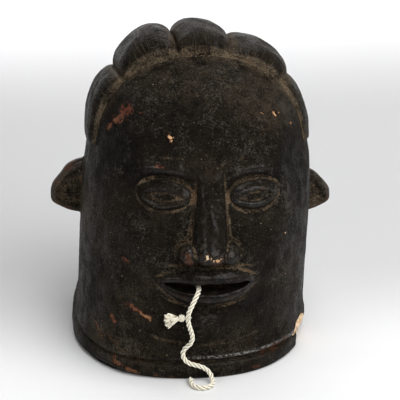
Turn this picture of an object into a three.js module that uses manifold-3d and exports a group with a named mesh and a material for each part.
import * as THREE from 'three';
import Module from 'manifold-3d';

const wasm = await Module();
wasm.setup();

// Millimetres. The face looks along -y, the rim stands on z = 0, and x = 0, y = 0 is the middle of the
// box round the mask. Heights count from the ground, and turns about the upright go from the face to +x.

// Head
const skullHeight = 248; // crown of the bare head, under the hair
const halfWidth = 95.8;
const frontDepth = 113.5; // from the head's middle line forward to the plain face
const backDepth = 114;
const middleY = 6.2;
const middleAtRim = -5.8; // x of the head's middle line at the rim
const lean = 8.2; // how far that line drifts to +x on the way up
const leanHeight = 155;
const roll = 0.036; // the features drop by this share of their x
const frontDome = 3.2; // a higher number keeps the side upright for longer
const sideDome = 5.8;
const backDome = 4;
const roundLow = 2.42; // exponent of the plan outline at the rim, 2 would be an ellipse
const roundTop = 2.15;
const roundSkew = 0.18; // the front's -x corner is this much squarer, its +x corner rounder

// Hollow
const wall = 10;
const hollowTop = 229;

// Rim, as [height, how far it stands proud of the head]
const rimSteps = [
  [0, 3.2], [1.5, 4.6], [10.8, 4.6], [12.2, 3.6], [12.8, 0.2],
  [15, 0.2], [15.6, 2.6], [19, 2.4], [25, 0.9], [32, 0],
];
const rimWear = 0.5; // unevenness of its edge
const rimNarrow = [[1.2, 0.75, 2.3], [-0.95, 0.55, 1.4]]; // turn, reach and depth of each narrower place
const rimBevel = [-0.75, 0.75, 2.2]; // the same for the rubbed bottom edge
const faceStart = 20; // the face's relief comes in from here upward
const faceBlend = 14;

// Mouth
const mouthHeight = 78;
const mouthHalf = 34;
const mouthOpen = 4.4; // half of the gap at the middle
const mouthCurve = 0.0022;
const lipDepth = 11;
const lipHeight = 6;

// Hair: lobes fan out from a pole behind the head, as turns about a line tipped up at the front
const hairMiddle = new THREE.Vector3(-1, 6.2, 150);
const hairTip = 10;
const hairParts = [-80, -40.8, -9.4, 17, 49, 82]; // borders between the lobes, degrees from straight up
const hairHeights = [6.8, 14.7, 12.6, 8.8, 3.6];
const hairSkews = [0.6, 0.3, -0.31, 0.15, -0.5]; // how much higher a lobe is towards +x
const hairFront = 67; // degrees from the front to the hairline
const hairPeak = 5.5; // the hairline is this much lower over the brow
const hairBack = 165;
const hairBase = 1;
const hairRise = 12; // length of the rounded front end
const hairFall = 45;
const hairSink = 1.5; // the border dips this far under the skull

// Ears, as [outward, height] round the flap
const earOutline = [
  [-13, 20], [0, 23.5], [12, 17.5], [20, 7.5], [26.5, -2], [28, -10], [26.5, -18], [15, -23.5], [3, -25.5],
  [-13, -23.5],
];
const earHollow = [10, -8];
const earY = 22;
const earLeft = { side: -1, root: -93, height: 121, reach: 1, tall: 1 };
const earRight = { side: 1, root: 94, height: 110, reach: 0.97, tall: 0.83 };
const earRings = [[0, -0.5], [0.4, -1], [0.7, -4.5], [0.88, -5.5], [1, -3.2]]; // share of the outline, face
const earBackRings = [[1, 2.6], [0.6, 4.6], [0, 5.4]];
const earSweep = 0.3;
const earCorners = 16;

// Piece broken out of the rim, as [turn, how deep it bites from the rim's outside]
const chipBites = [[82, -1], [80, 3.6], [76, 5], [70, 6], [64, 5.6], [59, 4.6], [56.8, 3], [55.8, -1]];
const chipLevels = [[-1, 0.9], [6, 0.3], [13.4, -0.6]]; // height, more bite
const chipOutside = -8;

// Cord and what is tied on it
const cordRadius = 1.9;
const gap = 0.3;
const cordSides = 8;
const cordSteps = 54;
// From the mouth's sill over the lip and the chin, back under itself on the rim and round on the floor
const cordRoute = [
  [-7.6, -89, 76.4], [-8, -98, 76.5], [-8.4, -105.6, 76.8], [-9, -112.4, 77.1], [-10.3, -116.7, 76],
  [-12.7, -119.9, 72.8], [-15.1, -121, 68.3], [-18, -120.2, 60], [-17.6, -118.6, 52], [-15.4, -116.8, 44],
  [-14.2, -114.8, 37.6], [-14.9, -113.7, 34], [-16.4, -112.9, 31], [-18.5, -112.1, 28.7],
  [-20.4, -111.5, 26.2], [-21.4, -111.3, 23.1], [-20.9, -111.6, 19.5], [-18.9, -112.4, 16.5],
  [-15.9, -113.1, 14.6], [-11.6, -113.8, 13.3], [-6.8, -114.4, 11.8], [-3.2, -115, 9.7], [-0.6, -116.2, 7],
  [0.9, -118.8, 4.2], [1.2, -122.4, 2.4], [0.4, -126, 2.1], [-1.8, -128.8, 2.1], [-5, -130.5, 2.1],
  [-8.7, -130.7, 2.1], [-12, -129.3, 2.1], [-14.5, -126.6, 2.1], [-15.6, -123.1, 2.1], [-15.7, -119, 2.1],
  [-15.6, -115.2, 2.1],
];
const knotPlace = 0.315; // share of the cord's length
const knotRing = 3.6;
const knotThick = 1.2;
const lumpSize = [4.4, 3.6, 3.6];
const lumpOut = 5; // from the cord to the middle of the knot's lump
// Along the tassel, its half width and half thickness there
const tasselRings = [[0, 1.6, 1.3], [3, 2.2, 1.6], [6.5, 3.6, 1.9], [10, 5, 1.9], [12.5, 5.8, 1.2]];
const tasselDrop = 22; // degrees below level

const radians = THREE.MathUtils.degToRad;
const clamp = THREE.MathUtils.clamp;
const hill = (d) => Math.max(0, 1 - d) ** 2;
const cap = (d) => Math.sqrt(Math.max(0, 1 - d));

function dome(z, power, top) {
  return cap((clamp(z, 0, top) / top) ** power);
}

function middleX(z) {
  return middleAtRim + lean * clamp(z / leanHeight, 0, 1);
}

// Plan outline at a height: half width, front depth, back depth and exponent.
function spans(z, grow, top) {
  return {
    half: Math.max(0, halfWidth * dome(z, sideDome, top) + grow),
    front: Math.max(0, frontDepth * dome(z, frontDome, top) + grow),
    back: Math.max(0, backDepth * dome(z, backDome, top) + grow),
    power: roundLow + (roundTop - roundLow) * (clamp(z, 0, top) / top) ** 2,
  };
}

function ringPoint(z, turn, grow, top = skullHeight) {
  const at = spans(z, grow, top);
  const s = Math.sin(turn);
  const c = Math.cos(turn);
  const power = at.power - (c > 0 ? roundSkew * Math.sign(s) : 0);
  const bend = (v) => Math.sign(v) * Math.abs(v) ** (2 / power);
  return [middleX(z) + at.half * bend(s), middleY - (c > 0 ? at.front : at.back) * bend(c)];
}

function rimProud(z, turn) {
  const last = rimSteps.length - 1;
  if (z >= rimSteps[last][0]) return 0;
  let i = 0;
  while (z > rimSteps[i + 1][0]) i += 1;
  const [lowZ, low] = rimSteps[i];
  const [highZ, high] = rimSteps[i + 1];
  const proud = low + ((high - low) * (z - lowZ)) / (highZ - lowZ);
  if (z > 12.5) return proud;
  const lost = ([middle, reach, deep]) => deep * hill(((turn - middle) / reach) ** 2);
  const rubbed = z < 1.6 ? lost(rimBevel) : 0;
  const wear = rimWear * Math.sin(5 * turn + 1) * Math.sin(3 * turn);
  return proud + wear - lost(rimNarrow[0]) - lost(rimNarrow[1]) - rubbed;
}

// The face is a calm one on plain proportions, as heights over the head's own surface.
function mouthLine(across) {
  return mouthHeight + mouthCurve * across ** 2;
}

function mouthGap(across) {
  return mouthOpen * cap((across / mouthHalf) ** 2);
}

function lips(across, up) {
  const along = Math.max(1e-4, 1 - (across / (mouthHalf + 7)) ** 2);
  const away = Math.abs(up - mouthLine(across)) - mouthGap(across);
  const share = clamp(away / (lipDepth * along ** 0.6), 0, 1);
  return lipHeight * Math.max(0, Math.sin(Math.PI * (0.22 + 0.78 * share))) ** 0.75 * Math.sqrt(along);
}

function nose(across, up) {
  const side = Math.abs(across);
  const t = clamp((160 - up) / 50, 0, 1);
  let high = 4.5 + 16.5 * t ** 1.35;
  if (up > 160) high *= hill(((up - 160) / 16) ** 2);
  if (up < 110) high *= cap(((110 - up) / 12.5) ** 2);
  const bridge = high * Math.max(0, 1 - (across / (10.5 + 4.5 * t)) ** 2) ** 0.8;
  const wing = 13.5 * cap(((side - 14.5) / 9.5) ** 2 + ((up - 105.5) / 9) ** 2);
  return Math.max(bridge, wing) - 5.5 * hill(((side - 8.5) / 5) ** 2 + ((up - 99) / 3.6) ** 2);
}

function eye(side, up) {
  const lid = 5.2 * (1 - ((side - 36) / 16.5) ** 2);
  const socket = -6.5 * hill(((side - 36) / 30) ** 2 + ((up - 149) / 21) ** 2);
  const ball = 7 * Math.max(0, 1 - ((side - 36) / 21) ** 2 - ((up - 148) / 12.5) ** 2) ** 0.7;
  return socket + ball - 1.8 * clamp(lid - Math.abs(up - 146.5), 0, 1);
}

function relief(across, z) {
  const up = z + roll * across;
  const side = Math.abs(across);
  const brow = 3.5 * hill(((up - 168 + 0.006 * (side - 30) ** 2) / 9) ** 2) * hill(((side - 31) / 34) ** 2);
  const cheek = 5 * hill(((side - 50) / 30) ** 2 + ((up - 112) / 36) ** 2);
  const muzzle = 5 * hill((across / 52) ** 2 + ((up - 80) / 36) ** 2);
  const temple = -3 * hill(((side - 74) / 20) ** 2 + ((up - 166) / 32) ** 2);
  const chin = 7 * hill((across / 36) ** 2 + ((up - 46) / 19) ** 2);
  const underLip = -2.5 * hill((across / 24) ** 2 + ((up - 60.5) / 7) ** 2);
  const form = brow + eye(side, up) + cheek + muzzle + temple + chin + underLip;
  return form + nose(across, up) + lips(across, up);
}

function facePoint(z, turn) {
  const [x, y] = ringPoint(z, turn, rimProud(z, turn));
  const dx = x - middleX(z);
  const dy = y - middleY;
  const reach = Math.hypot(dx, dy) + 1e-9;
  const facing = clamp((-3 * dy) / reach, 0, 1) * clamp((z - faceStart) / faceBlend, 0, 1);
  const out = facing > 0 ? facing * relief(dx, z) : 0;
  return [x + (dx / reach) * out, y + (dy / reach) * out, z];
}

// Closed solids
function solid(points, triangles) {
  const vertProperties = new Float32Array(points.flat());
  const triVerts = new Uint32Array(triangles.flat());
  return new wasm.Manifold(new wasm.Mesh({ numProp: 3, vertProperties, triVerts }));
}

// Rings go from the lowest up, each counterclockwise from above, between a lowest and a highest point.
function ringStack(rings, low, high) {
  const count = rings[0].length;
  const points = [low, ...rings.flat(), high];
  const triangles = [];
  for (let j = 0; j < count; j += 1) {
    const next = (j + 1) % count;
    for (let i = 0; i + 1 < rings.length; i += 1) {
      const a = 1 + i * count + j;
      const b = 1 + i * count + next;
      triangles.push([a, b, b + count], [a, b + count, a + count]);
    }
    const lastRow = 1 + (rings.length - 1) * count;
    triangles.push([0, 1 + next, 1 + j], [points.length - 1, lastRow + j, lastRow + next]);
  }
  return solid(points, triangles);
}

// A patch seen from outside, closed by a point inside. Rows run left to right, the lowest first.
function patchFan(rows, inner) {
  const wide = rows[0].length;
  const points = [...rows.flat(), inner];
  const triangles = [];
  const at = (i, j) => i * wide + j;
  for (let i = 0; i + 1 < rows.length; i += 1) {
    for (let j = 0; j + 1 < wide; j += 1) {
      const far = at(i + 1, j + 1);
      triangles.push([at(i, j), at(i, j + 1), far], [at(i, j), far, at(i + 1, j)]);
    }
  }
  const tip = points.length - 1;
  const top = rows.length - 1;
  for (let j = 0; j + 1 < wide; j += 1) {
    triangles.push([tip, at(0, j + 1), at(0, j)], [tip, at(top, j), at(top, j + 1)]);
  }
  for (let i = 0; i < top; i += 1) {
    triangles.push([tip, at(i, 0), at(i + 1, 0)], [tip, at(i + 1, wide - 1), at(i, wide - 1)]);
  }
  return solid(points, triangles);
}

function fromGeometry(geometry) {
  const place = geometry.getAttribute('position');
  const found = new Map();
  const points = [];
  const order = [];
  for (let i = 0; i < place.count; i += 1) {
    const p = [place.getX(i), place.getY(i), place.getZ(i)];
    const key = p.map((v) => v.toFixed(4)).join(' ');
    if (!found.has(key)) {
      found.set(key, points.length);
      points.push(p);
    }
    order.push(found.get(key));
  }
  const index = geometry.index ? Array.from(geometry.index.array, (i) => order[i]) : order;
  const triangles = [];
  for (let i = 0; i < index.length; i += 3) {
    const t = index.slice(i, i + 3);
    if (new Set(t).size === 3) triangles.push(t);
  }
  return solid(points, triangles);
}

function toGeometry(body) {
  const mesh = body.getMesh();
  const geometry = new THREE.BufferGeometry();
  geometry.setAttribute('position', new THREE.BufferAttribute(mesh.vertProperties, 3));
  geometry.setIndex(new THREE.BufferAttribute(mesh.triVerts, 1));
  geometry.computeVertexNormals();
  return geometry;
}

// Head
function headTurns() {
  const steps = [0, 3, 6, 9, 12, 15, 18, 21.5, 25.5, 30, 34.5, 39, 43.5, 48, 53, 59, 66];
  const turns = steps.map((x) => Math.asin((x / halfWidth) ** 1.15));
  for (const degrees of [55, 66, 77, 88, 100, 113, 127, 141, 155, 168]) turns.push(radians(degrees));
  const left = turns.slice(1).reverse().map((turn) => -turn);
  return [...left, ...turns, Math.PI];
}

function headHeights() {
  const heights = [0, 1.5, 10.8, 12.2, 12.8, 15, 15.6, 19, 27, 34, 40, 46, 52, 57, 61];
  for (let z = 65; z <= 112; z += 3) heights.push(z);
  heights.push(116, 121, 127, 132, 136);
  for (let z = 139.5; z <= 160; z += 3.2) heights.push(z);
  heights.push(162, 166, 171, 177, 187, 198, 209, 220, 230, 238, 244);
  return heights;
}

function head() {
  const turns = headTurns();
  const rings = headHeights().map((z) => turns.map((turn) => facePoint(z, turn)));
  return ringStack(rings, [middleX(0), middleY, 0], [middleX(skullHeight), middleY, skullHeight]);
}

function hollow() {
  const rings = [];
  for (const z of [-2, 20, 60, 100, 130, 155, 175, 192, 206, 217, 225]) {
    const ring = [];
    for (let j = 0; j < 32; j += 1) {
      const [x, y] = ringPoint(Math.max(z, 0), (2 * Math.PI * (j + 0.5)) / 32, -wall, hollowTop + 3);
      ring.push([x, y, z]);
    }
    rings.push(ring);
  }
  return ringStack(rings, [middleX(0), middleY, -2], [middleX(hollowTop), middleY, hollowTop]);
}

function mouthSlit() {
  const points = [];
  const at = (x, side) => {
    const across = x - middleX(mouthHeight);
    const z = mouthLine(across) + side * mouthGap(across) - roll * across;
    return new THREE.Vector2(x, z);
  };
  const middle = middleX(mouthHeight);
  for (let i = 0; i <= 12; i += 1) points.push(at(middle - mouthHalf * Math.cos((Math.PI * i) / 12), -1));
  for (let i = 11; i > 0; i -= 1) points.push(at(middle - mouthHalf * Math.cos((Math.PI * i) / 12), 1));
  const block = new THREE.ExtrudeGeometry(new THREE.Shape(points), { depth: 70, bevelEnabled: false });
  block.rotateX(Math.PI / 2);
  block.translate(0, -75, 0);
  return fromGeometry(block);
}

// Hair
function insideSkull(p) {
  if (p.z >= skullHeight) return false;
  const at = spans(p.z, 0, skullHeight);
  const deep = p.y < middleY ? at.front : at.back;
  const x = Math.abs(p.x - middleX(p.z)) / at.half;
  const y = Math.abs(p.y - middleY) / deep;
  const power = at.power - (p.y < middleY ? roundSkew * Math.sign(p.x - middleX(p.z)) : 0);
  return x ** power + y ** power < 1;
}

function hairPoint(turn, back) {
  const tip = radians(hairTip);
  const ahead = new THREE.Vector3(0, -Math.cos(tip), Math.sin(tip));
  const above = new THREE.Vector3(0, Math.sin(tip), Math.cos(tip));
  const way = ahead.multiplyScalar(Math.cos(back));
  way.addScaledVector(above, Math.sin(back) * Math.cos(turn));
  way.x += Math.sin(back) * Math.sin(turn);
  let low = 20;
  let high = 260;
  for (let i = 0; i < 30; i += 1) {
    const half = (low + high) / 2;
    if (insideSkull(way.clone().multiplyScalar(half).add(hairMiddle))) low = half;
    else high = half;
  }
  return { way, reach: low };
}

function hairSolid() {
  const rows = [];
  const aroundSteps = [-1, -0.86, -0.6, -0.2, 0.2, 0.6, 0.86];
  const turns = [];
  hairHeights.forEach((height, i) => {
    const mid = (hairParts[i] + hairParts[i + 1]) / 2;
    const half = (hairParts[i + 1] - hairParts[i]) / 2;
    for (const t of aroundSteps) {
      turns.push([mid + t * half, height * cap(Math.abs(t) ** 2.2) * (1 + hairSkews[i] * t)]);
    }
  });
  turns.push([hairParts[hairParts.length - 1], 0]);
  const backSteps = [0, 0.012, 0.04, 0.08, 0.125, 0.25, 0.4, 0.55, 0.7, 0.84, 0.94, 1];
  for (const share of backSteps) {
    const row = turns.map(([degrees, height], k) => {
      const turn = radians(degrees);
      const front = radians(hairFront - hairPeak * Math.cos(turn) ** 4);
      const length = radians(hairBack) - front;
      const rise = cap((1 - clamp((100 * length * share) / hairRise, 0, 1)) ** 2);
      const fall = cap((1 - clamp((100 * length * (1 - share)) / hairFall, 0, 1)) ** 2);
      const edge = k === 0 || k === turns.length - 1 || share === 0 || share === 1;
      const lift = edge ? -hairSink : (height + hairBase) * rise * fall;
      const { way, reach } = hairPoint(turn, front + length * share);
      const p = way.multiplyScalar(reach + lift).add(hairMiddle);
      return [p.x, p.y, p.z];
    });
    rows.push(row);
  }
  return patchFan(rows, hairMiddle.toArray());
}

// Ears
function ear({ side, root, height, reach, tall }) {
  const corners = earOutline.map(([r, h]) => new THREE.Vector2(r, h));
  const curve = new THREE.SplineCurve([...corners, corners[0]]);
  const outline = curve.getSpacedPoints(earCorners).slice(0, earCorners);
  const [hollowR, hollowZ] = earHollow;
  const loops = [...earRings, ...earBackRings].map(([share, y]) => {
    if (share === 0) return [[hollowR, y, hollowZ]];
    return outline.map((p) => [hollowR + (p.x - hollowR) * share, y, hollowZ + (p.y - hollowZ) * share]);
  });
  const points = [];
  const starts = loops.map((loop) => {
    const start = points.length;
    for (const [r, y, h] of loop) {
      points.push([root + side * r * reach, earY + y + earSweep * Math.max(0, r), height + h * tall]);
    }
    return start;
  });
  const triangles = [];
  for (let k = 0; k + 1 < loops.length; k += 1) {
    for (let j = 0; j < earCorners; j += 1) {
      const next = (j + 1) % earCorners;
      const pair = (n) => (loops[n].length > 1 ? [starts[n] + j, starts[n] + next] : [starts[n], starts[n]]);
      const a = pair(k);
      const b = pair(k + 1);
      if (a[0] !== a[1]) triangles.push([a[0], a[1], b[1]]);
      if (b[0] !== b[1]) triangles.push([a[0], b[1], b[0]]);
    }
  }
  return solid(points, side < 0 ? triangles.map(([a, b, c]) => [a, c, b]) : triangles);
}

// Break in the rim
function rimChip() {
  const rings = chipLevels.map(([z, more]) => {
    const bite = chipBites.map(([degrees, deep]) => [degrees, deep > 0 ? deep + more : deep]);
    const far = chipBites.map(([degrees]) => [degrees, chipOutside]).reverse();
    return [...bite, ...far].map(([degrees, deep]) => {
      const [x, y] = ringPoint(0, radians(degrees), 4.6 - deep);
      return [x, y, z];
    });
  });
  const [x, y] = ringPoint(0, radians(76), 4.6);
  return ringStack(rings, [x, y, chipLevels[0][0]], [x, y, chipLevels[2][0]]);
}

const whole = head().add(hairSolid()).add(ear(earLeft)).add(ear(earRight));
const mask = whole.subtract(hollow()).subtract(mouthSlit()).subtract(rimChip());

// Cord
const cordPath = new THREE.CatmullRomCurve3(cordRoute.map((p) => new THREE.Vector3(...p)));

function tube(path, radius, sides, steps) {
  const corners = [];
  for (let i = 0; i < sides; i += 1) {
    const turn = (2 * Math.PI * i) / sides;
    corners.push(new THREE.Vector2(radius * Math.cos(turn), radius * Math.sin(turn)));
  }
  const section = new THREE.Shape(corners);
  return new THREE.ExtrudeGeometry(section, { steps, extrudePath: path, bevelEnabled: false });
}

const knotAt = cordPath.getPointAt(knotPlace);
const knotAxis = cordPath.getTangentAt(knotPlace);
const tasselDown = radians(tasselDrop);
const tasselWay = new THREE.Vector3(-Math.cos(tasselDown), 0.1, -Math.sin(tasselDown)).normalize();
const lumpAt = knotAt.clone().add(new THREE.Vector3(-lumpOut, 0, 0));

function knot() {
  const ring = new THREE.TorusGeometry(knotRing, knotThick, 6, 11);
  ring.applyQuaternion(new THREE.Quaternion().setFromUnitVectors(new THREE.Vector3(0, 0, 1), knotAxis));
  ring.translate(knotAt.x, knotAt.y, knotAt.z);
  const lump = new THREE.SphereGeometry(1, 10, 6);
  lump.scale(...lumpSize);
  lump.translate(lumpAt.x, lumpAt.y, lumpAt.z);
  const hole = tube(cordPath, cordRadius + gap + 0.1, cordSides, cordSteps);
  return fromGeometry(ring).add(fromGeometry(lump)).subtract(fromGeometry(hole));
}

function tassel() {
  const start = lumpAt.clone().addScaledVector(tasselWay, lumpSize[0] + gap);
  const across = new THREE.Vector3(0, 1, 0).cross(tasselWay).normalize();
  const thick = tasselWay.clone().cross(across);
  const rings = tasselRings.map(([along, wide, deep]) => {
    const ring = [];
    for (let i = 0; i < 10; i += 1) {
      const turn = (2 * Math.PI * i) / 10;
      const p = start.clone().addScaledVector(tasselWay, along);
      p.addScaledVector(across, wide * Math.cos(turn)).addScaledVector(thick, deep * Math.sin(turn));
      ring.push(p.toArray());
    }
    return ring;
  });
  const last = tasselRings[tasselRings.length - 1][0];
  const end = start.clone().addScaledVector(tasselWay, last);
  return ringStack(rings, start.toArray(), end.toArray());
}

const group = new THREE.Group();

function addNode(name, geometry, look) {
  const mesh = new THREE.Mesh(geometry, new THREE.MeshStandardMaterial(look));
  mesh.name = name;
  group.add(mesh);
}

const cotton = { color: 0xe6dcc4, roughness: 0.95, metalness: 0 };

addNode('mask', toGeometry(mask), { color: 0x2b2723, roughness: 0.5, metalness: 0 });
addNode('cord', tube(cordPath, cordRadius, cordSides, cordSteps), cotton);
addNode('cord_knot', toGeometry(knot()), cotton);
addNode('cord_tassel', toGeometry(tassel()), { color: 0xede3cc, roughness: 0.95, metalness: 0 });

export default group;
